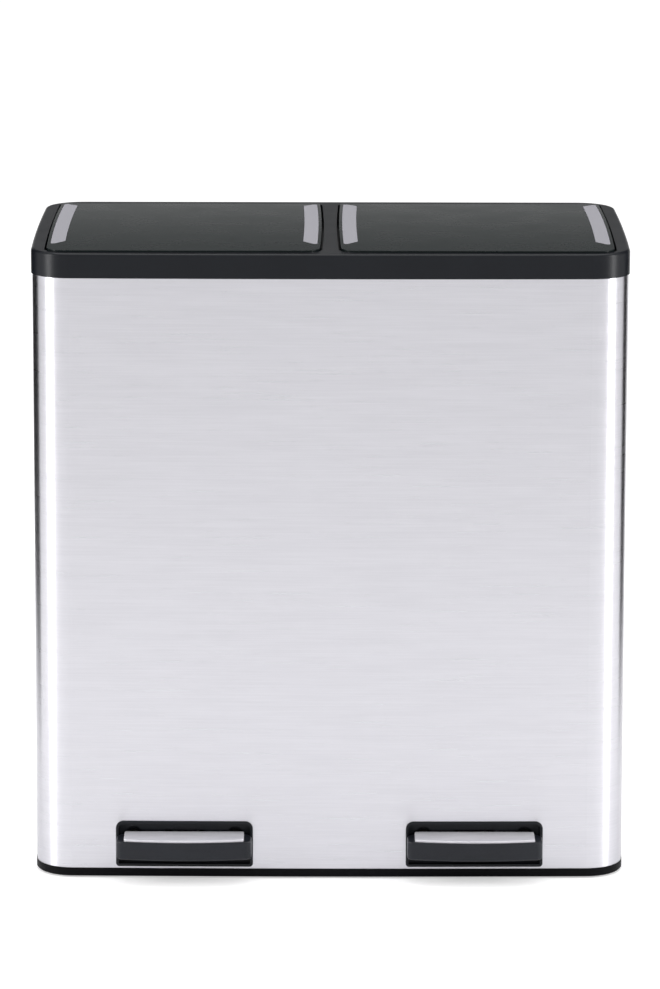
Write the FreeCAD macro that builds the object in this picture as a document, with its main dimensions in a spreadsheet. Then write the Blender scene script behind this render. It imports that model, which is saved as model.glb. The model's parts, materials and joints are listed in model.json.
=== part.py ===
import FreeCAD, Part
import math
import os
from types import SimpleNamespace

import Sketcher

# A double pedal bin: a steel-wrapped case on a moulded base, a moulded collar
# with two lids, a bucket under each lid and a pedal for each lid.
# Millimetres. X runs to the right, Y to the back and Z up, and the origin is
# on the floor under the middle of the whole bin, pedals included. The pieces
# are drawn about the middle of the steel case, which stands back from there.

os.makedirs("parts", exist_ok=True)

SIZES = {
    # how pieces are joined and cut: overlap inside a piece, and run past it
    "weld": 1,
    "run_past": 5,
    # fits
    "seat_gap": 0.3,
    "press_fit": 0.02,
    "pin_clearance": 0.06,
    "screw_hole_slack": 0.4,
    # steel wrap
    "case_width": 590,
    "case_depth": 330,
    "case_corner": 38,
    "case_front_radius": 12000,
    "case_side_radius": 6000,
    "sheet_gauge": 0.8,
    "wrap_height": 603,
    "seam_width": 14,
    # base
    "foot_stand": 1.5,
    "foot_radius": 11,
    "foot_sink": 1.5,
    "foot_edge": 0.6,
    "foot_pocket_slack": 0.1,
    "foot_inset_x": 52,
    "foot_inset_y": 45,
    "plinth_height": 8.5,
    "plinth_proud": 0.5,
    "plinth_edge": 1.2,
    "base_floor": 3.5,
    "base_rim_height": 24,
    "base_wall": 2.5,
    "gate_clearance": 1.5,
    # posts for the surrounds' screws
    "post_width": 12,
    "post_depth": 10,
    "post_top": 8,
    "post_gap": 2,
    # deck that the buckets stand on
    "deck_height": 60,
    "deck_thickness": 3,
    "deck_post_radius": 6,
    "deck_post_spread": 62,
    "deck_post_front": 95,
    "deck_post_back": 75,
    "bucket_stop_gap": 1,
    "bucket_stop_height": 4,
    "bucket_stop_wall": 2,
    # collar
    "collar_height": 24.5,
    "collar_overlap": 5.5,
    "collar_proud": 1.2,
    "collar_lip": 1.1,
    "collar_wall": 2.5,
    "collar_edge": 3,
    "collar_skirt": 17.5,
    "steel_end_gap": 0.5,
    "rim_front": 10.5,
    "rim_side": 12.3,
    "rim_back": 14,
    "rim_thickness": 3,
    "bar_width": 12.9,
    "ledge_depth": 12,
    "ledge_width": 7,
    "ledge_thickness": 3,
    "mouth_corner": 27,
    "trough_depth": 34,
    "trough_wall": 3,
    "trough_shelf": 1,
    "trough_corner": 6,
    # pads under the lids
    "bumper_radius": 3,
    "bumper_overhang": 0.5,
    # lids
    "lid_gap": 2.4,
    "lid_corner": 16,
    "lid_back_corner": 8,
    "lid_side_radius": 6000,
    "lid_stand": 1.3,
    "lid_height": 10,
    "lid_skin": 2.5,
    "lid_crown_radius": 6000,
    "lid_rib": 1.6,
    "lid_rib_drop": 6,
    "nose_radius": 5,
    "lid_opening": 80,
    # metal strips in the lids
    "strip_inset": 3.1,
    "strip_width": 14.2,
    "strip_thickness": 0.9,
    "strip_corner": 2.5,
    "strip_gap": 0.4,
    "strip_glue": 0.05,
    "strip_outer_front": 118.6,
    "strip_outer_back": 144,
    "strip_inner_front": 99.4,
    "strip_inner_back": 129,
    # lid hinges
    "hinge_setback": 18,
    "hinge_drop": 9,
    "hinge_spread": 72,
    "web_length": 22,
    "web_shoulder": 2,
    "hinge_pin_radius": 2.5,
    "knuckle_radius": 6,
    "knuckle_width": 18,
    "ear_width": 6,
    "ear_back": 1,
    "hinge_side_gap": 0.5,
    # crank on each lid and the rod that lifts it
    "crank_reach": 14,
    "crank_offset": 5,
    "crank_thickness": 6,
    "crank_wall": 3.5,
    "crank_root": 3,
    "crank_slot_slack": 1.0,
    "slot_end_slack": 0.3,
    "rod_radius": 2,
    "rod_offset": 19,
    "rod_bend": 5,
    "rod_overhang": 4,
    "rod_hole_slack": 4,
    "rod_clip_radius": 4.5,
    "rod_clip_thickness": 2,
    "rod_clip_gap": 0.4,
    "rod_clip_set_in": 1.2,
    # cover over each rod
    "cover_wall": 1.5,
    "cover_half_width": 9,
    "cover_front": 8,
    "cover_end_gap": 0.2,
    "guide_height": 320,
    "guide_thickness": 3,
    "guide_sink": 0.5,
    "guide_slack": 1,
    # pedal surround
    "surround_width": 136.7,
    "surround_bottom": 12,
    "surround_top": 58.8,
    "surround_corner": 7.6,
    "surround_low_corner": 3.5,
    "surround_clearance": 0.25,
    "flange_width": 1.2,
    "flange_thickness": 1.3,
    "flange_edge": 0.8,
    "tunnel_wall": 1.5,
    "recess_depth": 6,
    "recess_back": 1.8,
    "screw_inset": 17.85,
    "screw_height": 44.5,
    "screw_seat_radius": 7.5,
    "screw_seat_depth": 5,
    "screw_seat_wall": 1.8,
    "screw_seat_floor": 1,
    "screw_head_radius": 4,
    "screw_head_height": 2.6,
    "screw_head_edge": 1.2,
    "screw_radius": 1.9,
    "screw_length": 12,
    "slot_half_width": 20,
    "slot_low": 15.5,
    "slot_high": 48,
    # pedal
    "pedal_side_gap": 1.15,
    "pedal_front": 33,
    "pedal_back": 4.2,
    "pedal_low": 27,
    "pedal_high": 45.3,
    "pedal_corner": 7,
    "pedal_back_corner": 14,
    "pedal_bow_radius": 350,
    "pedal_wall": 2.5,
    "pedal_edge": 1.2,
    "heel_rise": 3.8,
    "heel_front": 5,
    "tread_side": 7.7,
    "tread_front": 2.6,
    "tread_back": 3.4,
    "tread_corner": 2,
    "tread_height": 2.2,
    "tread_gauge": 1,
    "tread_edge": 0.7,
    # lever under the deck
    "lever_half_width": 13,
    "lever_gauge": 1.5,
    "lever_above": 4.6,
    "lever_below": 6,
    "lever_pad": 6,
    "lever_pad_gap": 2,
    "lever_pad_length": 23,
    "lever_tail": 8,
    "axle_back": 105,
    "axle_height": 30,
    "axle_radius": 3,
    "axle_overhang": 1.5,
    "axle_edge": 0.6,
    "bearing_wall": 4,
    "bearing_gap": 1,
    "bearing_foot": 16,
    "bearing_top": 7,
    "bearing_crown": 6,
    # buckets
    "bucket_clearance": 3,
    "bucket_top_gap": 6,
    "bucket_wall": 2,
    "bucket_floor": 2.5,
    "bucket_taper": 6,
    "bucket_rim": 4,
    "bucket_rim_thickness": 2.5,
    "bucket_lip": 10,
    "grip_half_width": 45,
    "grip_height": 22,
    "grip_drop": 14,
}
# where the ribs lie under each lid, as shares of its width and depth
LONG_RIBS = (-0.25, 0.25)
CROSS_RIBS = (-0.3, -0.1, 0.1, 0.3)
# where the two pads lie along each lid's front, as shares of its width
BUMPERS = (-1 / 3, 1 / 3)


class Size:
    """A length with the sheet formula that it comes from."""

    def __init__(self, value, formula):
        self.value = value
        self.formula = formula

    def __add__(self, other):
        other = as_size(other)
        return Size(self.value + other.value, f"({self.formula} + {other.formula})")

    def __sub__(self, other):
        other = as_size(other)
        return Size(self.value - other.value, f"({self.formula} - {other.formula})")

    def __mul__(self, other):
        other = as_size(other)
        return Size(self.value * other.value, f"({self.formula} * {other.formula})")

    def __truediv__(self, other):
        other = as_size(other)
        return Size(self.value / other.value, f"({self.formula} / {other.formula})")

    def __radd__(self, other):
        return as_size(other) + self

    def __rsub__(self, other):
        return as_size(other) - self

    def __rmul__(self, other):
        return as_size(other) * self

    def __neg__(self):
        return Size(-self.value, f"(-1 * {self.formula})")


def as_size(number):
    return number if isinstance(number, Size) else Size(float(number), f"({float(number)})")


def root(size):
    return Size(math.sqrt(size.value), f"sqrt({size.formula})")


def tangent(angle):
    return Size(math.tan(math.radians(angle.value)), f"tan({angle.formula} * 1 deg)")


def arc_tangent(ratio):
    """The angle, in degrees, of a slope."""
    return Size(math.degrees(math.atan(ratio.value)), f"(atan({ratio.formula}) / 1 deg)")


doc = FreeCAD.newDocument("double_pedal_bin")
sheet = doc.addObject("Spreadsheet::Sheet", "Sizes")
for row, (name, number) in enumerate(SIZES.items(), start=1):
    sheet.set(f"A{row}", name)
    sheet.set(f"B{row}", str(number))
    sheet.setAlias(f"B{row}", name)
doc.recompute()
dim = SimpleNamespace(**{name: Size(float(number), f"Sizes.{name}") for name, number in SIZES.items()})

# heights
wrap_low = dim.foot_stand + dim.plinth_height
wrap_high = wrap_low + dim.wrap_height
floor_top = dim.foot_stand + dim.base_floor
deck_top = dim.deck_height + dim.deck_thickness
collar_low = wrap_high - dim.collar_overlap
collar_high = collar_low + dim.collar_height
skirt_low = collar_low - dim.collar_skirt
ledge_top = collar_high - dim.ledge_depth
ledge_low = ledge_top - dim.ledge_thickness
trough_floor = collar_high - dim.trough_depth
trough_low = trough_floor - dim.trough_wall
lid_high = collar_high + dim.lid_stand
lid_low = lid_high - dim.lid_height

# plan positions
stand_back = (dim.pedal_front - dim.collar_proud) / 2
case_front = -dim.case_depth / 2
case_back = dim.case_depth / 2
aperture_width = dim.case_width / 2 - dim.rim_side - dim.bar_width / 2
aperture_depth = dim.case_depth - dim.rim_front - dim.rim_back
aperture_centre_y = (dim.rim_front - dim.rim_back) / 2
unit_centre_x = dim.bar_width / 2 + aperture_width / 2
lid_width = aperture_width - 2 * dim.lid_gap
lid_depth = aperture_depth - 2 * dim.lid_gap
lid_front = aperture_centre_y - lid_depth / 2
lid_back = aperture_centre_y + lid_depth / 2
base_inset = dim.sheet_gauge + dim.seat_gap
collar_inner = base_inset + dim.collar_wall

# hinge, crank, rod and lever
hinge_y = lid_back - dim.hinge_setback
hinge_z = lid_high - dim.hinge_drop
half_opening = dim.lid_opening / 2
crank_drop = dim.crank_reach * tangent(half_opening)
slot_far = root(dim.crank_reach * dim.crank_reach + crank_drop * crank_drop)
slot_radius = dim.rod_radius + dim.crank_slot_slack
crank_tip = slot_far + slot_radius + dim.crank_wall
rod_y = hinge_y - dim.crank_reach
rod_top_z = hinge_z - crank_drop
axle_y = case_front + dim.axle_back
lever_arm = rod_y - axle_y
rod_low_z = dim.axle_height - crank_drop
lever_slope = crank_drop / lever_arm
trough_front = hinge_y - crank_tip - dim.crank_slot_slack
trough_back = aperture_centre_y + aperture_depth / 2 - dim.trough_shelf
side_sag = dim.lid_side_radius - root(
    dim.lid_side_radius * dim.lid_side_radius - aperture_depth * aperture_depth / 4
)
trough_width = aperture_width - 2 * (side_sag + dim.trough_shelf)
mouth_width = aperture_width - 2 * dim.ledge_width
mouth_front = case_front + dim.rim_front + dim.ledge_width
mouth_back = trough_front - dim.trough_wall
mouth_depth = mouth_back - mouth_front
mouth_centre_y = (mouth_front + mouth_back) / 2

# bucket, surround and pedal
bucket_low = deck_top + dim.seat_gap
bucket_top = ledge_low - dim.bucket_top_gap
screw_spread = dim.surround_width / 2 - dim.screw_inset
pedal_width = dim.surround_width - 2 * dim.pedal_side_gap
pedal_ceiling = dim.pedal_high - dim.pedal_wall


def bind(item, name, size):
    """Sets a property from the sheet."""
    if isinstance(size, Size):
        item.setExpression(name, size.formula)
    else:
        setattr(item, name, size)


def new_body(name):
    part = doc.addObject("PartDesign::Body", name)
    part.Label = name
    return part


def new_sketch(part, plane, name, height=None):
    """A sketch on one of the part's own origin planes, raised along the plane's normal."""
    sketch = part.newObject("Sketcher::SketchObject", name)
    support = next(item for item in part.Origin.OriginFeatures if item.Role == plane)
    sketch.AttachmentSupport = [(support, "")]
    sketch.MapMode = "FlatFace"
    if height is not None:
        height = as_size(height)
        sketch.AttachmentOffset = FreeCAD.Placement(
            FreeCAD.Vector(0, 0, height.value), FreeCAD.Rotation()
        )
        sketch.setExpression("AttachmentOffset.Base.z", height.formula)
    return sketch


def extrude(part, kind, sketch, length=None, symmetric=False, backwards=False):
    """A pad or a pocket. With no length a pocket goes through everything."""
    feature = part.newObject(f"PartDesign::{kind}", f"{sketch.Name}_{kind}")
    feature.Profile = sketch
    feature.SideType = "Symmetric" if symmetric else "One side"
    feature.Reversed = backwards
    if length is None:
        feature.Type = "ThroughAll"
    else:
        bind(feature, "Length", as_size(length))
    sketch.Visibility = False
    return feature


def pin_point(sketch, geometry, position, x, y):
    """Fixes a sketch point at x, y from the sketch's origin."""
    for kind, axis, size in (("DistanceX", -2, x), ("DistanceY", -1, y)):
        size = as_size(size)
        if size.value == 0:
            sketch.addConstraint(Sketcher.Constraint("PointOnObject", geometry, position, axis))
        else:
            index = sketch.addConstraint(
                Sketcher.Constraint(kind, -1, 1, geometry, position, size.value)
            )
            sketch.setExpression(f"Constraints[{index}]", size.formula)


def set_radius(sketch, geometry, size):
    size = as_size(size)
    index = sketch.addConstraint(Sketcher.Constraint("Radius", geometry, size.value))
    sketch.setExpression(f"Constraints[{index}]", size.formula)


def add_circle(sketch, x, y, radius):
    x, y, radius = as_size(x), as_size(y), as_size(radius)
    centre = FreeCAD.Vector(x.value, y.value, 0)
    index = sketch.addGeometry(Part.Circle(centre, FreeCAD.Vector(0, 0, 1), radius.value))
    pin_point(sketch, index, 3, x, y)
    set_radius(sketch, index, radius)


def add_polygon(sketch, corners):
    corners = [(as_size(x), as_size(y)) for x, y in corners]
    points = [FreeCAD.Vector(x.value, y.value, 0) for x, y in corners]
    first = sketch.GeometryCount
    for start, end in zip(points, points[1:] + points[:1]):
        sketch.addGeometry(Part.LineSegment(start, end))
    for offset, (x, y) in enumerate(corners):
        following = first + (offset + 1) % len(corners)
        sketch.addConstraint(Sketcher.Constraint("Coincident", first + offset, 2, following, 1))
        pin_point(sketch, first + offset, 1, x, y)


def add_box(sketch, x_low, x_high, y_low, y_high):
    add_polygon(sketch, [(x_low, y_low), (x_high, y_low), (x_high, y_high), (x_low, y_high)])


def add_slot(sketch, x_start, x_end, y, radius):
    """A straight slot along X with round ends."""
    x_start, x_end, y, radius = map(as_size, (x_start, x_end, y, radius))
    low, high = y.value - radius.value, y.value + radius.value
    vector = FreeCAD.Vector
    first = sketch.GeometryCount
    sketch.addGeometry(Part.LineSegment(vector(x_start.value, low, 0), vector(x_end.value, low, 0)))
    end_circle = Part.Circle(vector(x_end.value, y.value, 0), vector(0, 0, 1), radius.value)
    sketch.addGeometry(Part.ArcOfCircle(end_circle, -math.pi / 2, math.pi / 2))
    sketch.addGeometry(Part.LineSegment(vector(x_end.value, high, 0), vector(x_start.value, high, 0)))
    start_circle = Part.Circle(vector(x_start.value, y.value, 0), vector(0, 0, 1), radius.value)
    sketch.addGeometry(Part.ArcOfCircle(start_circle, math.pi / 2, 3 * math.pi / 2))
    for offset in range(4):
        following = first + (offset + 1) % 4
        sketch.addConstraint(Sketcher.Constraint("Tangent", first + offset, 2, following, 1))
    pin_point(sketch, first + 1, 3, x_end, y)
    pin_point(sketch, first + 3, 3, x_start, y)
    set_radius(sketch, first + 1, radius)


class Plan:
    """A rounded outline seen from above, whose front and sides may be bowed."""

    def __init__(self, width, depth, corner, centre_x=0, centre_y=0, front_bow=None, side_bow=None,
                 back_corner=None):
        self.width = as_size(width)
        self.depth = as_size(depth)
        self.corner = as_size(corner)
        self.back_corner = as_size(corner if back_corner is None else back_corner)
        self.centre_x = as_size(centre_x)
        self.centre_y = as_size(centre_y)
        self.front_bow = front_bow
        self.side_bow = side_bow

    def grown(self, amount):
        amount = as_size(amount)
        return Plan(
            self.width + 2 * amount,
            self.depth + 2 * amount,
            self.corner + amount,
            self.centre_x,
            self.centre_y,
            self.front_bow and self.front_bow + amount,
            self.side_bow and self.side_bow + amount,
            self.back_corner + amount,
        )

    def moved(self, x):
        return Plan(self.width, self.depth, self.corner, x, self.centre_y, self.front_bow,
                    self.side_bow, self.back_corner)

    def walls(self):
        """For each wall: how it faces, its distance out and its bow radius."""
        half_width, half_depth = self.width / 2, self.depth / 2
        return [
            ((0, -1), half_depth, self.front_bow),
            ((1, 0), half_width, self.side_bow),
            ((0, 1), half_depth, None),
            ((-1, 0), half_width, self.side_bow),
        ]

    def corner_centre(self, facing_x, facing_y):
        """The middle and radius of a corner's circle, measured from the plan's centre."""
        radius = (self.corner if facing_y < 0 else self.back_corner).value
        x = self.width.value / 2 - radius
        y = self.depth.value / 2 - radius
        front = self.front_bow if facing_y < 0 else None
        for _ in range(20):
            if self.side_bow:
                bow = self.side_bow.value
                x = self.width.value / 2 - bow + math.sqrt((bow - radius) ** 2 - y**2)
            if front:
                bow = front.value
                y = self.depth.value / 2 - bow + math.sqrt((bow - radius) ** 2 - x**2)
        return x * facing_x, y * facing_y, radius

    def draw(self, sketch):
        """Adds the four walls and the four corners between them, all tangent."""
        first = sketch.GeometryCount
        middle_x, middle_y = self.centre_x.value, self.centre_y.value
        walls = self.walls()
        corners = [(1, -1), (1, 1), (-1, 1), (-1, -1)]
        centres = [self.corner_centre(*corner) for corner in corners]

        def touch(wall, centre):
            """Where a corner's circle meets a wall, measured from the plan's centre."""
            (facing_x, facing_y), distance, bow = wall
            radius = centre[2]
            if bow is None:
                return centre[0] + facing_x * radius, centre[1] + facing_y * radius
            origin_x = facing_x * (distance.value - bow.value)
            origin_y = facing_y * (distance.value - bow.value)
            scale = bow.value / (bow.value - radius)
            return (
                origin_x + (centre[0] - origin_x) * scale,
                origin_y + (centre[1] - origin_y) * scale,
            )

        def arc(origin, start, end):
            centre = FreeCAD.Vector(middle_x + origin[0], middle_y + origin[1], 0)
            circle = Part.Circle(
                centre, FreeCAD.Vector(0, 0, 1), math.hypot(start[0] - origin[0], start[1] - origin[1])
            )
            start_angle = math.atan2(start[1] - origin[1], start[0] - origin[0])
            end_angle = math.atan2(end[1] - origin[1], end[0] - origin[0])
            if end_angle < start_angle:
                end_angle += 2 * math.pi
            return Part.ArcOfCircle(circle, start_angle, end_angle)

        for index, wall in enumerate(walls):
            (facing_x, facing_y), distance, bow = wall
            start = touch(wall, centres[index - 1])
            end = touch(wall, centres[index])
            if bow is None:
                line = Part.LineSegment(
                    FreeCAD.Vector(middle_x + start[0], middle_y + start[1], 0),
                    FreeCAD.Vector(middle_x + end[0], middle_y + end[1], 0),
                )
                sketch.addGeometry(line)
            else:
                origin_x = facing_x * (distance.value - bow.value)
                origin_y = facing_y * (distance.value - bow.value)
                sketch.addGeometry(arc((origin_x, origin_y), start, end))
            following = walls[(index + 1) % 4]
            sketch.addGeometry(arc(centres[index], end, touch(following, centres[index])))

        for offset in range(8):
            following = first + (offset + 1) % 8
            sketch.addConstraint(Sketcher.Constraint("Tangent", first + offset, 2, following, 1))
        for index, ((facing_x, facing_y), distance, bow) in enumerate(walls):
            wall = first + 2 * index
            if bow is not None:
                x = self.centre_x + facing_x * (distance - bow)
                y = self.centre_y + facing_y * (distance - bow)
                pin_point(sketch, wall, 3, x, y)
                set_radius(sketch, wall, bow)
                continue
            vertical = facing_x != 0
            size = self.centre_x + facing_x * distance if vertical else self.centre_y + facing_y * distance
            sketch.addConstraint(Sketcher.Constraint("Vertical" if vertical else "Horizontal", wall))
            constraint = Sketcher.Constraint(
                "DistanceX" if vertical else "DistanceY", -1, 1, wall, 1, size.value
            )
            place = sketch.addConstraint(constraint)
            sketch.setExpression(f"Constraints[{place}]", size.formula)
        for corner, opposite, radius in ((1, 7, self.corner), (3, 5, self.back_corner)):
            set_radius(sketch, first + corner, radius)
            sketch.addConstraint(Sketcher.Constraint("Equal", first + corner, first + opposite))


def pad_plan(part, name, low, height, *plans, kind="Pad", backwards=False):
    """Extrudes one or more outlines upwards from a height. Inner outlines are holes."""
    sketch = new_sketch(part, "XY_Plane", name, low)
    for plan in plans:
        plan.draw(sketch)
    return extrude(part, kind, sketch, height, backwards=backwards)


def cut_plan(part, name, low, height, *plans):
    """Cuts outlines upwards from a height."""
    return pad_plan(part, name, low, height, *plans, kind="Pocket", backwards=True)


def round_edges(part, name, radius, wanted, kind="Fillet"):
    """Rounds the edges of the part's last feature that a test picks."""
    doc.recompute()
    base = part.Tip
    names = [
        f"Edge{number}" for number, edge in enumerate(base.Shape.Edges, start=1) if wanted(edge)
    ]
    feature = part.newObject(f"PartDesign::{kind}", name)
    feature.Base = (base, names)
    bind(feature, "Radius" if kind == "Fillet" else "Size", as_size(radius))
    return feature


def at_height(size):
    """Picks the edges that lie flat at a height."""
    height = size.value

    def wanted(edge):
        box = edge.BoundBox
        return abs(box.ZMin - height) < 0.01 and abs(box.ZMax - height) < 0.01

    return wanted


def at_front(size):
    """Picks the edges that lie in the upright plane at a depth."""
    depth = size.value

    def wanted(edge):
        box = edge.BoundBox
        return abs(box.YMin - depth) < 0.01 and abs(box.YMax - depth) < 0.01

    return wanted


def join(name, kind, *items):
    """A boolean of finished pieces: Cut takes two, MultiFuse and MultiCommon take any."""
    item = doc.addObject(f"Part::{kind}", name)
    if kind == "Cut":
        item.Base, item.Tool = items
    else:
        item.Shapes = list(items)
    item.Label = name
    return item


NODES = []


def finish(item, name, x=0, y=0, z=0):
    """Marks a piece as one of the bin's nodes and puts it in its place by the sheet."""
    item.Label = name
    sizes = (as_size(x), stand_back + y, as_size(z))
    item.Placement = FreeCAD.Placement(
        FreeCAD.Vector(*(size.value for size in sizes)), FreeCAD.Rotation()
    )
    for axis, size in zip("xyz", sizes):
        if size.value != 0:
            item.setExpression(f"Placement.Base.{axis}", size.formula)
    NODES.append(item)


SIDES = (("left", -1), ("right", 1))

case_plan = Plan(
    dim.case_width,
    dim.case_depth,
    dim.case_corner,
    front_bow=dim.case_front_radius,
    side_bow=dim.case_side_radius,
)
lid_plan = Plan(
    lid_width,
    lid_depth,
    dim.lid_corner,
    centre_y=aperture_centre_y,
    front_bow=dim.case_front_radius,
    side_bow=dim.lid_side_radius,
    back_corner=dim.lid_back_corner,
)
mouth_plan = Plan(mouth_width, mouth_depth, dim.mouth_corner, centre_y=mouth_centre_y)
trough_plan = Plan(
    trough_width,
    trough_back - trough_front,
    dim.trough_corner,
    centre_y=(trough_back + trough_front) / 2,
)
bucket_rim_plan = mouth_plan.grown(-dim.bucket_clearance)
bucket_mouth_plan = bucket_rim_plan.grown(-dim.bucket_rim)
bucket_foot_plan = Plan(
    bucket_mouth_plan.width - 2 * dim.bucket_taper,
    bucket_mouth_plan.depth - 2 * dim.bucket_taper,
    bucket_mouth_plan.corner,
    centre_y=mouth_centre_y,
)
rod_hole_half = dim.rod_radius + dim.rod_hole_slack

surround_plan = Plan(
    dim.surround_width,
    dim.surround_top - dim.surround_bottom,
    dim.surround_low_corner,
    centre_y=(dim.surround_top + dim.surround_bottom) / 2,
    back_corner=dim.surround_corner,
)
tunnel_plan = surround_plan.grown(-dim.flange_width)


def make_steel_wrap():
    """Brushed sheet bent round the case, with a lap seam down the back."""
    part = new_body("steel_wrap")
    pad_plan(part, "wrap_outside", wrap_low, dim.wrap_height, case_plan)
    seam = new_sketch(part, "XY_Plane", "wrap_seam", wrap_low)
    add_box(seam, -dim.seam_width / 2, dim.seam_width / 2, case_back - dim.sheet_gauge,
            case_back + dim.sheet_gauge)
    extrude(part, "Pad", seam, dim.wrap_height - dim.collar_overlap - dim.seat_gap)
    cut_plan(part, "wrap_inside", wrap_low, dim.wrap_height, case_plan.grown(-dim.sheet_gauge))
    windows = new_sketch(part, "XZ_Plane", "wrap_windows")
    for _, sign in SIDES:
        tunnel_plan.grown(dim.surround_clearance).moved(sign * unit_centre_x).draw(windows)
    extrude(part, "Pocket", windows, dim.case_depth, backwards=True)
    finish(part, "steel_wrap")


def make_base():
    """Moulded tray: plinth, rim inside the steel, lever bearings and screw posts."""
    part = new_body("base_tray")
    pad_plan(part, "plinth", dim.foot_stand, dim.plinth_height, case_plan.grown(dim.plinth_proud))
    round_edges(part, "plinth_edge", dim.plinth_edge, at_height(dim.foot_stand), kind="Chamfer")
    pad_plan(part, "base_rim", wrap_low, dim.base_rim_height, case_plan.grown(-base_inset))
    inner_height = dim.plinth_height + dim.base_rim_height - dim.base_floor
    inner_plan = case_plan.grown(-(base_inset + dim.base_wall))
    cut_plan(part, "base_hollow", floor_top, inner_height, inner_plan)
    gate = new_sketch(part, "XZ_Plane", "pedal_gates")
    gate_half = tunnel_plan.width / 2 + dim.gate_clearance
    for _, sign in SIDES:
        x = sign * unit_centre_x
        add_box(gate, x - gate_half, x + gate_half, dim.surround_bottom,
                wrap_low + dim.base_rim_height + dim.run_past)
    extrude(part, "Pocket", gate, dim.case_depth, backwards=True)

    bearing = dim.lever_half_width + dim.bearing_gap
    bearing_top = dim.axle_height + dim.bearing_top
    for side, sign in SIDES:
        for edge, offset in (("a", -bearing - dim.bearing_wall), ("b", bearing)):
            ear = new_sketch(part, "YZ_Plane", f"bearing_{side}_{edge}", sign * unit_centre_x + offset)
            add_polygon(ear, [
                (axle_y - dim.bearing_foot, floor_top - dim.weld),
                (axle_y + dim.bearing_foot, floor_top - dim.weld),
                (axle_y + dim.bearing_crown, bearing_top),
                (axle_y - dim.bearing_crown, bearing_top),
            ])
            extrude(part, "Pad", ear, dim.bearing_wall)
    bore = new_sketch(part, "YZ_Plane", "axle_bore")
    add_circle(bore, axle_y, dim.axle_height, dim.axle_radius + dim.press_fit)
    bore_end = unit_centre_x + bearing + dim.bearing_wall + dim.run_past
    extrude(part, "Pocket", bore, 2 * bore_end, symmetric=True)

    post_front = (case_front + dim.recess_depth + dim.recess_back + dim.screw_seat_depth
                  + dim.post_gap)
    places = [sign * unit_centre_x + spread for _, sign in SIDES for spread in (-screw_spread, screw_spread)]
    posts = new_sketch(part, "XY_Plane", "screw_posts", floor_top - dim.weld)
    holes_back = post_front + dim.post_depth + dim.weld
    half_post = dim.post_width / 2
    for x in places:
        add_box(posts, x - half_post, x + half_post, post_front, post_front + dim.post_depth)
    extrude(part, "Pad", posts, dim.screw_height + dim.post_top - floor_top + dim.weld)
    holes = new_sketch(part, "XZ_Plane", "screw_holes", -holes_back)
    for x in places:
        add_circle(holes, x, dim.screw_height, dim.screw_radius + dim.screw_hole_slack)
    extrude(part, "Pocket", holes, dim.post_depth + 2 * dim.weld, backwards=True)

    pockets = new_sketch(part, "XY_Plane", "foot_pockets", dim.foot_stand)
    for x, y in foot_places():
        add_circle(pockets, x, y, dim.foot_radius + dim.foot_pocket_slack)
    extrude(part, "Pocket", pockets, dim.foot_sink, backwards=True)
    finish(part, "base_tray")


def foot_places():
    x = dim.case_width / 2 - dim.foot_inset_x
    y = dim.case_depth / 2 - dim.foot_inset_y
    return [(-x, -y), (x, -y), (x, y), (-x, y)]


def make_feet():
    for name, (x, y) in zip(("front_left", "front_right", "back_right", "back_left"), foot_places()):
        part = new_body(f"foot_{name}")
        disc = new_sketch(part, "XY_Plane", f"foot_{name}_disc")
        add_circle(disc, 0, 0, dim.foot_radius)
        extrude(part, "Pad", disc, dim.foot_stand + dim.foot_sink)
        round_edges(part, f"foot_{name}_edge", dim.foot_edge, at_height(as_size(0)), kind="Chamfer")
        finish(part, f"foot_{name}", x, y)


def make_deck():
    """Moulded plate on posts that the buckets stand on, over the levers."""
    part = new_body("bucket_deck")
    deck_plan = case_plan.grown(-(base_inset + dim.seat_gap))
    pad_plan(part, "deck_plate", dim.deck_height, dim.deck_thickness, deck_plan)
    posts = new_sketch(part, "XY_Plane", "deck_posts", floor_top)
    for _, sign in SIDES:
        for spread in (-dim.deck_post_spread, dim.deck_post_spread):
            for y in (-dim.deck_post_front, dim.deck_post_back):
                add_circle(posts, sign * unit_centre_x + spread, y, dim.deck_post_radius)
    extrude(part, "Pad", posts, dim.deck_height - floor_top + dim.weld)
    for side, sign in SIDES:
        stop = bucket_foot_plan.grown(dim.bucket_stop_gap).moved(sign * unit_centre_x)
        pad_plan(part, f"bucket_stop_{side}", deck_top - dim.weld, dim.bucket_stop_height + dim.weld,
                 stop.grown(dim.bucket_stop_wall), stop)
    holes = new_sketch(part, "XY_Plane", "rod_holes", dim.deck_height)
    for _, sign in SIDES:
        x = sign * unit_centre_x + dim.rod_offset
        add_box(holes, x - rod_hole_half, x + rod_hole_half, rod_y - rod_hole_half, rod_y + rod_hole_half)
    extrude(part, "Pocket", holes, dim.deck_thickness + dim.weld, backwards=True)
    finish(part, "bucket_deck")


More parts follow.
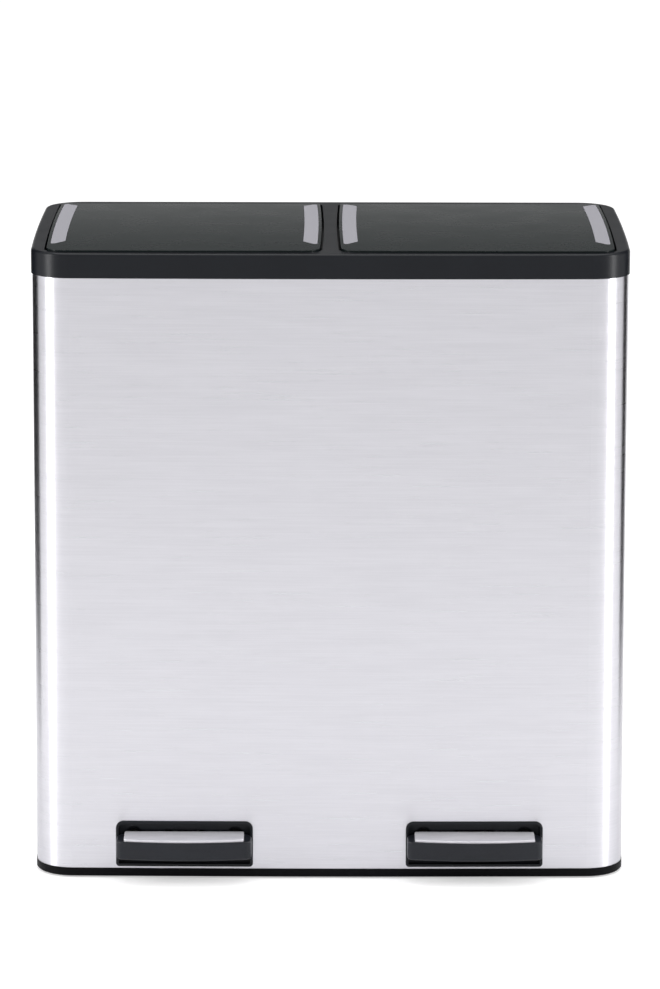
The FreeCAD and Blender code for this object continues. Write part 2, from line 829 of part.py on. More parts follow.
def make_collar():
    """Moulded collar: rim, two openings with ledges, and a hinge trough behind each."""
    part = new_body("collar")
    centres = [sign * unit_centre_x for _, sign in SIDES]
    aperture_plan = lid_plan.grown(dim.lid_gap)
    pad_plan(part, "collar_skirt", skirt_low, collar_high - skirt_low - dim.weld,
             case_plan.grown(-base_inset))
    pad_plan(part, "collar_face", collar_low, dim.collar_height, case_plan.grown(dim.collar_proud))
    round_edges(part, "collar_top_edge", dim.collar_edge, at_height(collar_high))
    cut_plan(part, "steel_groove", collar_low, dim.collar_overlap + dim.steel_end_gap,
             case_plan.grown(dim.collar_proud - dim.collar_lip), case_plan.grown(-base_inset))
    cut_plan(part, "lid_seats", ledge_top, dim.ledge_depth, *[aperture_plan.moved(x) for x in centres])
    cut_plan(part, "under_ledges", skirt_low, ledge_low - skirt_low,
             *[aperture_plan.moved(x) for x in centres])
    cut_plan(part, "bucket_mouths", ledge_low - dim.weld, dim.ledge_thickness + 2 * dim.weld,
             *[mouth_plan.moved(x) for x in centres])
    for (side, _), x in zip(SIDES, centres):
        pad_plan(part, f"trough_block_{side}", trough_low, ledge_top - trough_low,
                 trough_plan.grown(dim.trough_wall).moved(x))
    cut_plan(part, "rim_hollow", skirt_low, collar_high - dim.rim_thickness - skirt_low,
             case_plan.grown(-collar_inner),
             *[aperture_plan.grown(dim.collar_wall).moved(x) for x in centres])
    cut_plan(part, "troughs", trough_floor, dim.trough_depth, *[trough_plan.moved(x) for x in centres])

    ear_gap = dim.knuckle_width / 2 + dim.hinge_side_gap
    for side, sign in SIDES:
        for hinge, spread in (("inner", -dim.hinge_spread), ("outer", dim.hinge_spread)):
            for edge, offset in (("a", -ear_gap - dim.ear_width), ("b", ear_gap)):
                middle = sign * unit_centre_x + spread
                name = f"ear_{side}_{hinge}_{edge}"
                column = new_sketch(part, "YZ_Plane", name, middle + offset)
                add_box(column, hinge_y - dim.knuckle_radius, hinge_y + dim.ear_back,
                        trough_floor - dim.weld, hinge_z)
                extrude(part, "Pad", column, dim.ear_width)
                boss = new_sketch(part, "YZ_Plane", f"{name}_boss", middle + offset)
                add_circle(boss, hinge_y, hinge_z, dim.knuckle_radius)
                extrude(part, "Pad", boss, dim.ear_width)
    bore = new_sketch(part, "YZ_Plane", "hinge_bore")
    add_circle(bore, hinge_y, hinge_z, dim.hinge_pin_radius + dim.press_fit)
    reach = unit_centre_x + dim.hinge_spread + ear_gap + dim.ear_width + dim.weld
    extrude(part, "Pocket", bore, 2 * reach, symmetric=True)
    holes = new_sketch(part, "XY_Plane", "collar_rod_holes", trough_low)
    for _, sign in SIDES:
        x = sign * unit_centre_x + dim.rod_offset
        add_box(holes, x - rod_hole_half, x + rod_hole_half, rod_y - rod_hole_half, rod_y + rod_hole_half)
    extrude(part, "Pocket", holes, dim.trough_wall + dim.weld, backwards=True)
    finish(part, "collar")


def make_hinge_pins(side, sign):
    """Two steel pins through the collar's ears and the lid's knuckles."""
    length = dim.knuckle_width + 2 * (dim.hinge_side_gap + dim.ear_width)
    pins = []
    for hinge, spread in (("inner", -dim.hinge_spread), ("outer", dim.hinge_spread)):
        pin = new_body(f"hinge_pin_{side}_{hinge}")
        round_bar = new_sketch(pin, "YZ_Plane", f"hinge_pin_{side}_{hinge}_round", spread)
        add_circle(round_bar, 0, 0, dim.hinge_pin_radius)
        extrude(pin, "Pad", round_bar, length, symmetric=True)
        pins.append(pin)
    group = join(f"hinge_pins_{side}", "MultiFuse", *pins)
    finish(group, f"hinge_pins_{side}", sign * unit_centre_x, hinge_y, hinge_z)


def lid_blank(name, inset):
    """The lid's solid form with its crowned top and rounded back, drawn in by an inset."""
    part = new_body(name)
    inset = as_size(inset)
    low = lid_low if inset.value == 0 else lid_low - dim.run_past
    pad_plan(part, f"{name}_plan", low, dim.lid_height * 2, lid_plan.grown(-inset))

    crown = dim.lid_crown_radius - inset
    nose = dim.nose_radius - inset
    nose_y = lid_back - dim.nose_radius
    nose_z = lid_high - dim.nose_radius
    middle = (lid_front + nose_y) / 2
    run = nose_y - middle
    crown_z = nose_z - root((crown - nose) * (crown - nose) - run * run)
    start_y = lid_front - dim.run_past
    start_z = crown_z + root(crown * crown - (start_y - middle) * (start_y - middle))
    far_y = lid_back + dim.lid_height
    far_z = lid_high + dim.lid_height
    vector = FreeCAD.Vector
    crown_circle = Part.Circle(vector(middle.value, crown_z.value, 0), vector(0, 0, 1), crown.value)
    nose_circle = Part.Circle(vector(nose_y.value, nose_z.value, 0), vector(0, 0, 1), nose.value)
    join_angle = math.atan2(nose_z.value - crown_z.value, run.value)
    start_angle = math.atan2(start_z.value - crown_z.value, start_y.value - middle.value)
    cut = new_sketch(part, "YZ_Plane", f"{name}_crown")
    cut.addGeometry(Part.ArcOfCircle(crown_circle, join_angle, start_angle))
    cut.addGeometry(Part.ArcOfCircle(nose_circle, 0, join_angle))
    cut.addConstraint(Sketcher.Constraint("Tangent", 1, 2, 0, 1))
    outer = [(nose_y + nose, nose_z), (far_y, nose_z), (far_y, far_z), (start_y, far_z),
             (start_y, start_z)]
    points = [vector(y.value, z.value, 0) for y, z in outer]
    for start, end in zip(points, points[1:]):
        cut.addGeometry(Part.LineSegment(start, end))
    for first, second in ((1, 2), (2, 3), (3, 4), (4, 5), (5, 0)):
        ends = (1, 1) if first == 1 else (2, 2) if second == 0 else (2, 1)
        cut.addConstraint(Sketcher.Constraint("Coincident", first, ends[0], second, ends[1]))
    pin_point(cut, 1, 3, nose_y, nose_z)
    set_radius(cut, 1, nose)
    set_radius(cut, 0, crown)
    cut.addConstraint(Sketcher.Constraint("Horizontal", 2))
    for index, (y, z) in ((2, outer[1]), (3, outer[2]), (4, outer[3])):
        pin_point(cut, index, 2, y, z)
    for geometry, position, size in ((0, 3, middle), (0, 2, start_y)):
        index = cut.addConstraint(
            Sketcher.Constraint("DistanceX", -1, 1, geometry, position, size.value)
        )
        cut.setExpression(f"Constraints[{index}]", size.formula)
    extrude(part, "Pocket", cut, dim.case_width, symmetric=True)
    return part


def strip_prism(name, sign, extra):
    """The upright prism of one lid strip: bowed long edges and slanted ends."""
    part = new_body(name)
    extra = as_size(extra)
    sketch = new_sketch(part, "XY_Plane", f"{name}_plan", lid_low)
    centre_x = sign * (lid_width / 2 - dim.lid_side_radius)
    outer = dim.lid_side_radius - dim.strip_inset + extra
    inner = dim.lid_side_radius - dim.strip_inset - dim.strip_width - extra
    ends = {
        "outer_front": (outer, aperture_centre_y - dim.strip_outer_front - extra),
        "outer_back": (outer, aperture_centre_y + dim.strip_outer_back + extra),
        "inner_front": (inner, aperture_centre_y - dim.strip_inner_front - extra),
        "inner_back": (inner, aperture_centre_y + dim.strip_inner_back + extra),
    }

    def point(end):
        radius, y = ends[end]
        run = y.value - aperture_centre_y.value
        x = centre_x.value + sign * math.sqrt(radius.value**2 - run**2)
        return FreeCAD.Vector(x, y.value, 0)

    def arc(kind):
        """A long edge from its front end to its back end, or back to front on the left."""
        radius = outer if kind == "outer" else inner
        centre = FreeCAD.Vector(centre_x.value, aperture_centre_y.value, 0)
        circle = Part.Circle(centre, FreeCAD.Vector(0, 0, 1), radius.value)
        angles = []
        for end in ("front", "back"):
            spot = point(f"{kind}_{end}") - centre
            angles.append(math.atan2(spot.y, spot.x) % (2 * math.pi))
        if sign > 0:
            angles = [angles[0] - 2 * math.pi, angles[1]]
        return Part.ArcOfCircle(circle, min(angles), max(angles))

    sketch.addGeometry(arc("outer"))
    sketch.addGeometry(arc("inner"))
    sketch.addGeometry(Part.LineSegment(point("outer_front"), point("inner_front")))
    sketch.addGeometry(Part.LineSegment(point("outer_back"), point("inner_back")))
    front, back = (1, 2) if sign > 0 else (2, 1)
    for geometry, kind in ((0, "outer"), (1, "inner")):
        pin_point(sketch, geometry, 3, centre_x, aperture_centre_y)
        set_radius(sketch, geometry, outer if kind == "outer" else inner)
        for position, end in ((front, "front"), (back, "back")):
            size = ends[f"{kind}_{end}"][1]
            index = sketch.addConstraint(
                Sketcher.Constraint("DistanceY", -1, 1, geometry, position, size.value)
            )
            sketch.setExpression(f"Constraints[{index}]", size.formula)
        sketch.addConstraint(
            Sketcher.Constraint("Coincident", geometry, front, 2, 1 + geometry)
        )
        sketch.addConstraint(
            Sketcher.Constraint("Coincident", geometry, back, 3, 1 + geometry)
        )
    extrude(part, "Pad", sketch, dim.lid_height * 2)
    round_edges(part, f"{name}_corners", dim.strip_corner,
                lambda edge: edge.BoundBox.ZLength > dim.lid_height.value)
    return part


def make_lid(side, sign):
    """Moulded lid shell with ribs, hinge knuckles, a slotted crank and two metal strips."""
    outer = lid_blank(f"lid_{side}_outer", 0)
    inner = lid_blank(f"lid_{side}_inner", dim.lid_skin)
    shell = join(f"lid_{side}_shell", "Cut", outer, inner)

    ribs = new_body(f"lid_{side}_ribs")
    rib_low = lid_high - dim.lid_rib_drop
    half_rib = dim.lid_rib / 2
    grid = new_sketch(ribs, "XY_Plane", f"lid_{side}_long_ribs", rib_low)
    for share in LONG_RIBS:
        x = share * lid_width
        add_box(grid, x - half_rib, x + half_rib, lid_front + dim.weld, hinge_y - dim.web_length)
    extrude(ribs, "Pad", grid, dim.lid_rib_drop)
    rib_end = lid_width / 2 - side_sag - dim.weld
    for number, share in enumerate(CROSS_RIBS):
        y = aperture_centre_y + share * lid_depth
        cross = new_sketch(ribs, "XY_Plane", f"lid_{side}_cross_rib_{number}", rib_low)
        add_box(cross, -rib_end, rib_end, y - half_rib, y + half_rib)
        extrude(ribs, "Pad", cross, dim.lid_rib_drop)
    ribbing = join(f"lid_{side}_ribbing", "MultiCommon", ribs, outer)

    knuckles = new_body(f"lid_{side}_knuckles")
    for hinge, spread in (("inner", -dim.hinge_spread), ("outer", dim.hinge_spread)):
        name = f"knuckle_{side}_{hinge}"
        barrel = new_sketch(knuckles, "YZ_Plane", name, spread - dim.knuckle_width / 2)
        add_circle(barrel, hinge_y, hinge_z, dim.knuckle_radius)
        extrude(knuckles, "Pad", barrel, dim.knuckle_width)
        web = new_sketch(knuckles, "YZ_Plane", f"{name}_web", spread - dim.knuckle_width / 2)
        add_web(web)
        extrude(knuckles, "Pad", web, dim.knuckle_width)
    bore = new_sketch(knuckles, "YZ_Plane", f"knuckle_{side}_bore")
    add_circle(bore, hinge_y, hinge_z, dim.hinge_pin_radius + dim.pin_clearance)
    extrude(knuckles, "Pocket", bore, lid_width, symmetric=True)

    crank_low = dim.crank_offset - dim.crank_thickness / 2
    crank_web = new_sketch(knuckles, "YZ_Plane", f"crank_{side}_web", crank_low)
    add_web(crank_web)
    extrude(knuckles, "Pad", crank_web, dim.crank_thickness)
    arm = crank_sketch(knuckles, f"crank_{side}_arm", crank_low)
    add_slot(arm, -slot_far, -dim.crank_root, 0, slot_radius + dim.crank_wall)
    extrude(knuckles, "Pad", arm, dim.crank_thickness)
    slot = crank_sketch(knuckles, f"crank_{side}_slot", crank_low)
    add_slot(slot, -slot_far - dim.slot_end_slack, -dim.crank_reach + dim.slot_end_slack, 0, slot_radius)
    extrude(knuckles, "Pocket", slot, dim.crank_thickness, backwards=True)

    lid = join(f"lid_{side}_whole", "MultiFuse", shell, ribbing, knuckles)
    well_floor = lid_blank(f"strip_well_floor_{side}", dim.strip_thickness + dim.strip_glue)
    strip_floor = lid_blank(f"strip_floor_{side}", dim.strip_thickness)
    for strip_side, strip_sign in (("outer", sign), ("inner", -sign)):
        name = f"strip_{side}_{strip_side}"
        well = strip_prism(f"{name}_well", strip_sign, dim.strip_gap)
        recess = join(f"{name}_recess", "Cut", well, well_floor)
        lid = join(f"{name}_seat", "Cut", lid, recess)
        trimmed = join(f"{name}_top", "MultiCommon", strip_prism(f"{name}_prism", strip_sign, 0), outer)
        strip = join(f"lid_strip_{side}_{strip_side}", "Cut", trimmed, strip_floor)
        finish(strip, f"lid_strip_{side}_{strip_side}", sign * unit_centre_x)
    finish(lid, f"lid_{side}", sign * unit_centre_x)


def add_web(sketch):
    """The web that ties a knuckle or the crank to the lid's skin."""
    back = hinge_y + dim.ear_back
    front = hinge_y - dim.web_length
    top = lid_high - dim.lid_skin / 2
    knuckle_front = hinge_y - dim.knuckle_radius
    knuckle_top = hinge_z + dim.knuckle_radius
    add_polygon(sketch, [
        (front, top),
        (knuckle_front - dim.web_shoulder, hinge_z - dim.web_shoulder),
        (knuckle_front + dim.web_shoulder, hinge_z - dim.web_shoulder),
        (knuckle_front + dim.web_shoulder, knuckle_top - dim.web_shoulder),
        (back, knuckle_top - dim.weld),
        (back, top),
    ])


def crank_sketch(part, name, offset):
    """A sketch centred on the hinge whose -X axis points along the crank at rest."""
    sketch = new_sketch(part, "YZ_Plane", name, offset)
    sketch.AttachmentOffset = FreeCAD.Placement(
        FreeCAD.Vector(hinge_y.value, hinge_z.value, offset.value),
        FreeCAD.Rotation(FreeCAD.Vector(0, 0, 1), half_opening.value),
    )
    sketch.setExpression("AttachmentOffset.Base.x", hinge_y.formula)
    sketch.setExpression("AttachmentOffset.Base.y", hinge_z.formula)
    sketch.setExpression("AttachmentOffset.Rotation.Angle", half_opening.formula)
    return sketch


def make_bumpers(side, sign):
    """Two soft pads on the ledge that the lid's front edge comes down on."""
    part = new_body(f"lid_bumpers_{side}")
    discs = new_sketch(part, "XY_Plane", f"bumper_{side}_discs")
    y = lid_front + dim.bumper_radius - dim.bumper_overhang
    for share in BUMPERS:
        add_circle(discs, share * lid_width, y, dim.bumper_radius)
    extrude(part, "Pad", discs, lid_low - ledge_top - dim.seat_gap)
    finish(part, f"lid_bumpers_{side}", sign * unit_centre_x, 0, ledge_top)


def make_bucket(side, sign):
    """Tapered liner with a turned-down rim and two finger holes."""
    part = new_body(f"bucket_{side}")
    for kind, inset, bottom in (
        ("Additive", as_size(0), bucket_low),
        ("Subtractive", dim.bucket_wall, bucket_low + dim.bucket_floor),
    ):
        sections = []
        for level, height, plan in (
            ("foot", bottom, bucket_foot_plan), ("top", bucket_top, bucket_mouth_plan),
        ):
            section = new_sketch(part, "XY_Plane", f"bucket_{side}_{kind}_{level}", height)
            plan.grown(-inset).draw(section)
            sections.append(section)
        if kind == "Subtractive":
            pad_plan(part, f"bucket_{side}_rim", bucket_top - dim.bucket_rim_thickness,
                     dim.bucket_rim_thickness, bucket_rim_plan)
            pad_plan(part, f"bucket_{side}_lip", bucket_top - dim.bucket_lip,
                     dim.bucket_lip - dim.weld, bucket_rim_plan,
                     bucket_rim_plan.grown(-dim.bucket_wall))
        loft = part.newObject(f"PartDesign::{kind}Loft", f"bucket_{side}_{kind}Loft")
        loft.Profile = sections[0]
        loft.Sections = [sections[1]]
        loft.Ruled = True
    grips = new_sketch(part, "YZ_Plane", f"bucket_{side}_grips")
    half = dim.grip_half_width - dim.grip_height / 2
    grip_z = bucket_top - dim.grip_drop - dim.grip_height / 2
    add_slot(grips, mouth_centre_y - half, mouth_centre_y + half, grip_z, dim.grip_height / 2)
    extrude(part, "Pocket", grips, mouth_width, symmetric=True)
    finish(part, f"bucket_{side}", sign * unit_centre_x)


def make_surround(side, sign):
    """Shallow moulded dish round a pedal, with a thin flange over the steel."""
    part = new_body(f"pedal_surround_{side}")
    name = f"surround_{side}"
    spreads = (-screw_spread, screw_spread)
    back = dim.recess_depth + dim.recess_back
    seat = dim.recess_depth + dim.screw_seat_depth
    flange_sketch = new_sketch(part, "XZ_Plane", f"{name}_flange")
    surround_plan.draw(flange_sketch)
    extrude(part, "Pad", flange_sketch, dim.flange_thickness)
    round_edges(part, f"{name}_lip", dim.flange_edge, at_front(-dim.flange_thickness))
    tunnel_sketch = new_sketch(part, "XZ_Plane", f"{name}_tunnel", -back)
    tunnel_plan.draw(tunnel_sketch)
    extrude(part, "Pad", tunnel_sketch, back + dim.flange_thickness / 2)
    bosses = new_sketch(part, "XZ_Plane", f"{name}_bosses", -(seat + dim.screw_seat_floor))
    for spread in spreads:
        add_circle(bosses, spread, dim.screw_height, dim.screw_seat_radius + dim.screw_seat_wall)
    extrude(part, "Pad", bosses, dim.screw_seat_depth)
    dish = new_sketch(part, "XZ_Plane", f"{name}_dish", -dim.recess_depth)
    tunnel_plan.grown(-dim.tunnel_wall).draw(dish)
    extrude(part, "Pocket", dish, dim.recess_depth + dim.run_past, backwards=True)
    wells = new_sketch(part, "XZ_Plane", f"{name}_wells", -seat)
    for spread in spreads:
        add_circle(wells, spread, dim.screw_height, dim.screw_seat_radius)
    extrude(part, "Pocket", wells, dim.screw_seat_depth + dim.run_past, backwards=True)
    gaps = new_sketch(part, "XZ_Plane", f"{name}_gaps", -(seat + dim.run_past))
    for spread in spreads:
        add_circle(gaps, spread, dim.screw_height, dim.screw_radius + dim.screw_hole_slack)
    add_box(gaps, -dim.slot_half_width, dim.slot_half_width, dim.slot_low, dim.slot_high)
    extrude(part, "Pocket", gaps, seat + 2 * dim.run_past, backwards=True)
    finish_on_front(part, f"pedal_surround_{side}", sign)

    screws = new_body(f"surround_screws_{side}")
    heads = new_sketch(screws, "XZ_Plane", f"{name}_screw_heads", -seat)
    shanks = new_sketch(screws, "XZ_Plane", f"{name}_screw_shanks", -seat)
    for spread in spreads:
        add_circle(heads, spread, dim.screw_height, dim.screw_head_radius)
        add_circle(shanks, spread, dim.screw_height, dim.screw_radius)
    extrude(screws, "Pad", heads, dim.screw_head_height)
    round_edges(screws, f"{name}_screw_edges", dim.screw_head_edge,
                at_front(seat - dim.screw_head_height), kind="Chamfer")
    extrude(screws, "Pad", shanks, dim.screw_length, backwards=True)
    finish_on_front(screws, f"surround_screws_{side}", sign)


def finish_on_front(item, name, sign):
    """Finishes a piece turned and moved so that it lies on the bowed front wall."""
    radius = dim.case_front_radius
    x = sign * unit_centre_x
    y = case_front + radius - root(radius * radius - x * x)
    finish(item, name, x, y)
    turn = arc_tangent(x / radius)
    item.Placement = FreeCAD.Placement(
        item.Placement.Base, FreeCAD.Rotation(FreeCAD.Vector(0, 0, 1), turn.value)
    )


def make_pedal(side, sign):
    """Moulded pedal whose rounded back end reaches into the dish, over a steel tread plate."""
    front = case_front - dim.pedal_front
    back = case_front + dim.pedal_back
    pedal_plan = Plan(
        pedal_width, back - front, dim.pedal_corner, centre_y=(front + back) / 2,
        front_bow=dim.pedal_bow_radius, back_corner=dim.pedal_back_corner,
    )
    name = f"pedal_{side}"
    part = new_body(name)
    pad_plan(part, f"{name}_block", dim.pedal_low, dim.pedal_high - dim.pedal_low, pedal_plan)
    round_edges(part, f"{name}_top_edge", dim.pedal_edge, at_height(dim.pedal_high))
    round_edges(part, f"{name}_low_edge", dim.pedal_edge, at_height(dim.pedal_low), kind="Chamfer")
    cut_plan(part, f"{name}_hollow", dim.pedal_low - dim.weld, pedal_ceiling - dim.pedal_low + dim.weld,
             pedal_plan.grown(-dim.pedal_wall))
    heel = new_sketch(part, "YZ_Plane", f"{name}_heel")
    heel_front = case_front - dim.heel_front
    heel_top = dim.pedal_low + dim.heel_rise
    add_polygon(heel, [
        (heel_front - dim.heel_rise, dim.pedal_low - dim.weld),
        (back + dim.weld, dim.pedal_low - dim.weld),
        (back + dim.weld, heel_top),
        (heel_front, heel_top),
    ])
    extrude(part, "Pocket", heel, pedal_width + dim.run_past, symmetric=True)
    gate = new_sketch(part, "XZ_Plane", f"{name}_gate", -case_front)
    gate_half = dim.lever_half_width + dim.bearing_gap
    add_box(gate, -gate_half, gate_half, dim.pedal_low - dim.weld, pedal_ceiling)
    extrude(part, "Pocket", gate, dim.pedal_front / 2 + dim.pedal_back, backwards=False)
    finish(part, name, sign * unit_centre_x)

    plate_front = front + dim.tread_front
    plate_back = case_front + dim.tread_back
    plate_plan = Plan(
        pedal_width - 2 * dim.tread_side, plate_back - plate_front, dim.tread_corner,
        centre_y=(plate_front + plate_back) / 2, front_bow=dim.pedal_bow_radius - dim.tread_front,
    )
    plate = new_body(f"tread_plate_{side}")
    pad_plan(plate, f"tread_{side}_pan", dim.pedal_high, dim.tread_height, plate_plan)
    round_edges(plate, f"tread_{side}_edge", dim.tread_edge, at_height(dim.pedal_high + dim.tread_height))
    cut_plan(plate, f"tread_{side}_hollow", dim.pedal_high - dim.weld,
             dim.tread_height - dim.tread_gauge + dim.weld, plate_plan.grown(-dim.tread_gauge))
    finish(plate, f"tread_plate_{side}", sign * unit_centre_x)


def make_lever(side, sign):
    """Folded steel channel from the pedal to the rod, and the axle that it turns on."""
    lever = new_body(f"pedal_lever_{side}")
    pad_front = case_front - dim.pedal_front + dim.pedal_wall + dim.lever_pad_gap
    pad_end = pad_front + dim.lever_pad_length
    tail_y = rod_y + dim.lever_tail
    tail_z = dim.axle_height - lever_slope * (tail_y - axle_y)
    neck_z = dim.axle_height + lever_slope * (axle_y - pad_end)
    profile = new_sketch(lever, "YZ_Plane", f"lever_{side}_flank")
    add_polygon(profile, [
        (pad_front, pedal_ceiling - dim.lever_pad),
        (pad_end, neck_z - dim.lever_below),
        (tail_y, tail_z - dim.lever_below),
        (tail_y, tail_z + dim.lever_above),
        (pad_end, pedal_ceiling),
        (pad_front, pedal_ceiling),
    ])
    extrude(lever, "Pad", profile, 2 * dim.lever_half_width, symmetric=True)
    gauge = dim.lever_gauge
    below = tail_z - 2 * dim.lever_below
    inside = new_sketch(lever, "YZ_Plane", f"lever_{side}_channel")
    add_polygon(inside, [
        (pad_front - dim.weld, below),
        (tail_y + dim.weld, below),
        (tail_y + dim.weld, tail_z + dim.lever_above - gauge),
        (pad_end, pedal_ceiling - gauge),
        (pad_front - dim.weld, pedal_ceiling - gauge),
    ])
    extrude(lever, "Pocket", inside, 2 * (dim.lever_half_width - gauge), symmetric=True)
    holes = new_sketch(lever, "YZ_Plane", f"lever_{side}_holes")
    add_circle(holes, axle_y, dim.axle_height, dim.axle_radius + dim.pin_clearance)
    add_circle(holes, rod_y, rod_low_z, dim.rod_radius + dim.pin_clearance)
    extrude(lever, "Pocket", holes, 2 * (dim.lever_half_width + dim.weld), symmetric=True)
    finish(lever, f"pedal_lever_{side}", sign * unit_centre_x)

    axle = new_body(f"lever_axle_{side}")
    bar = new_sketch(axle, "YZ_Plane", f"axle_{side}_round")
    add_circle(bar, 0, 0, dim.axle_radius)
    half_axle = dim.lever_half_width + dim.bearing_gap + dim.bearing_wall + dim.axle_overhang
    extrude(axle, "Pad", bar, 2 * half_axle, symmetric=True)
    round_edges(axle, f"axle_{side}_ends", dim.axle_edge,
                lambda edge: edge.BoundBox.XLength < dim.weld.value, kind="Chamfer")
    finish(axle, f"lever_axle_{side}", sign * unit_centre_x, axle_y, dim.axle_height)


def make_rod(side, sign):
    """Bent steel rod from the lever's tail up to the lid's crank, with two push-on clips."""
    low_end = -dim.lever_half_width - dim.rod_overhang
    high_end = dim.crank_offset - dim.crank_thickness / 2 - dim.rod_overhang
    rise = rod_top_z - rod_low_z
    part = new_body(f"push_rod_{side}")
    spine = new_sketch(part, "XZ_Plane", f"rod_{side}_spine")
    bend = dim.rod_bend
    corner_x = dim.rod_offset
    vector = FreeCAD.Vector
    bend_x = (corner_x - bend).value
    lines = [
        (vector(low_end.value, 0, 0), vector(bend_x, 0, 0)),
        (vector(corner_x.value, bend.value, 0), vector(corner_x.value, (rise - bend).value, 0)),
        (vector(bend_x, rise.value, 0), vector(high_end.value, rise.value, 0)),
    ]
    low_turn = Part.Circle(vector(bend_x, bend.value, 0), vector(0, 0, 1), bend.value)
    high_turn = Part.Circle(vector(bend_x, (rise - bend).value, 0), vector(0, 0, 1), bend.value)
    spine.addGeometry(Part.LineSegment(*lines[0]))
    spine.addGeometry(Part.ArcOfCircle(low_turn, -math.pi / 2, 0))
    spine.addGeometry(Part.LineSegment(*lines[1]))
    spine.addGeometry(Part.ArcOfCircle(high_turn, 0, math.pi / 2))
    spine.addGeometry(Part.LineSegment(*lines[2]))
    for index in range(4):
        spine.addConstraint(Sketcher.Constraint("Tangent", index, 2, index + 1, 1))
    pin_point(spine, 0, 1, low_end, 0)
    spine.addConstraint(Sketcher.Constraint("Horizontal", 0))
    spine.addConstraint(Sketcher.Constraint("Vertical", 2))
    pin_point(spine, 4, 2, high_end, rise)
    set_radius(spine, 1, bend)
    spine.addConstraint(Sketcher.Constraint("Equal", 1, 3))
    reach = spine.addConstraint(Sketcher.Constraint("DistanceX", -1, 1, 2, 1, corner_x.value))
    spine.setExpression(f"Constraints[{reach}]", corner_x.formula)
    section = new_sketch(part, "YZ_Plane", f"rod_{side}_section", low_end)
    add_circle(section, 0, 0, dim.rod_radius)
    pipe = part.newObject("PartDesign::AdditivePipe", f"rod_{side}_pipe")
    pipe.Profile = section
    pipe.Spine = spine
    finish(part, f"push_rod_{side}", sign * unit_centre_x, rod_y, rod_low_z)

    clips = new_body(f"rod_clips_{side}")
    for end, x, z in (
        ("low", -dim.lever_half_width - dim.rod_clip_thickness - dim.rod_clip_gap, as_size(0)),
        ("high", high_end + dim.rod_clip_set_in, rise),
    ):
        washer = new_sketch(clips, "YZ_Plane", f"clip_{side}_{end}", x)
        add_circle(washer, 0, z, dim.rod_clip_radius)
        add_circle(washer, 0, z, dim.rod_radius + dim.press_fit)
        extrude(clips, "Pad", washer, dim.rod_clip_thickness)
    finish(clips, f"rod_clips_{side}", sign * unit_centre_x, rod_y, rod_low_z)


def make_rod_cover(side, sign):
    """Channel against the back wall that keeps the bag off the rod, with a rod guide."""
    part = new_body(f"rod_cover_{side}")
    name = f"cover_{side}"
    length = skirt_low - deck_top - 2 * dim.cover_end_gap
    back = case_back - rod_y - collar_inner - dim.seat_gap
    channel = new_sketch(part, "XY_Plane", f"{name}_channel")
    half = dim.cover_half_width
    wall = dim.cover_wall
    add_polygon(channel, [
        (-half, back), (-half, -dim.cover_front), (half, -dim.cover_front), (half, back),
        (half - wall, back), (half - wall, wall - dim.cover_front),
        (wall - half, wall - dim.cover_front), (wall - half, back),
    ])
    extrude(part, "Pad", channel, length)
    guide = new_sketch(part, "XY_Plane", f"{name}_guide", dim.guide_height)
    sink = dim.guide_sink
    add_box(guide, sink - half, half - sink, sink - dim.cover_front, dim.cover_front)
    add_circle(guide, 0, 0, dim.rod_radius + dim.guide_slack)
    extrude(part, "Pad", guide, dim.guide_thickness)
    finish(part, f"rod_cover_{side}", sign * unit_centre_x + dim.rod_offset, rod_y,
           deck_top + dim.cover_end_gap)


make_steel_wrap()
make_base()
make_feet()
make_deck()
make_collar()
for side_name, side_sign in SIDES:
    make_hinge_pins(side_name, side_sign)
    make_lid(side_name, side_sign)
    make_bumpers(side_name, side_sign)
    make_bucket(side_name, side_sign)
    make_surround(side_name, side_sign)
    make_pedal(side_name, side_sign)
    make_lever(side_name, side_sign)
    make_rod(side_name, side_sign)
    make_rod_cover(side_name, side_sign)

doc.recompute()

faults = [item.Label for item in doc.Objects if {"Invalid", "Error"} & set(item.State)]
for node in NODES:
    if node.Shape.isNull() or not node.Shape.isValid() or not node.Shape.Solids:
        faults.append(node.Label)
if faults:
    raise SystemExit("these pieces failed: " + ", ".join(sorted(set(faults))))

swing = 2 * arc_tangent(lever_slope)
hinge, rod, axle = (stand_back + size for size in (hinge_y, rod_y, axle_y))
print(f"hinge y {hinge.value:.3f} z {hinge_z.value:.3f}, rod y {rod.value:.3f}")
print(f"axle y {axle.value:.3f} z {dim.axle_height.value:.3f}, rod foot z {rod_low_z.value:.3f}")
print(f"lid centres x {unit_centre_x.value:.3f}, lever swing {swing.value:.4f} degrees")
for node in NODES:
    node.Shape.exportStep(f"parts/{node.Label}.step")
    print(f"{node.Label}: {len(node.Shape.Solids)} solid, {node.Shape.Volume / 1000:.2f} cm3")
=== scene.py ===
import json
import math

import bpy
from mathutils import Matrix, Vector

# A double pedal bin: a brushed steel case with a black moulded collar, two lids with metal
# inlays, two pedals with steel treads, and the buckets and linkages inside. Lengths are in
# metres, or in millimetres where a name says so.

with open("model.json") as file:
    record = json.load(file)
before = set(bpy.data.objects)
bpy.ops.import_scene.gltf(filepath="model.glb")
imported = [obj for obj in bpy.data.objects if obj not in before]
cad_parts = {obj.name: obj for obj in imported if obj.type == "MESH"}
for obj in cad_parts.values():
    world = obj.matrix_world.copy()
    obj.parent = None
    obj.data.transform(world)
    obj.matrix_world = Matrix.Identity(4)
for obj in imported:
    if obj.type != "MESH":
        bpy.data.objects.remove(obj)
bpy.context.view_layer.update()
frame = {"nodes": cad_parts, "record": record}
nodes = frame["nodes"]

MM = 0.001
NOISE_LOW, NOISE_HIGH = 0.3, 0.7  # nearly all of a noise's values lie between these


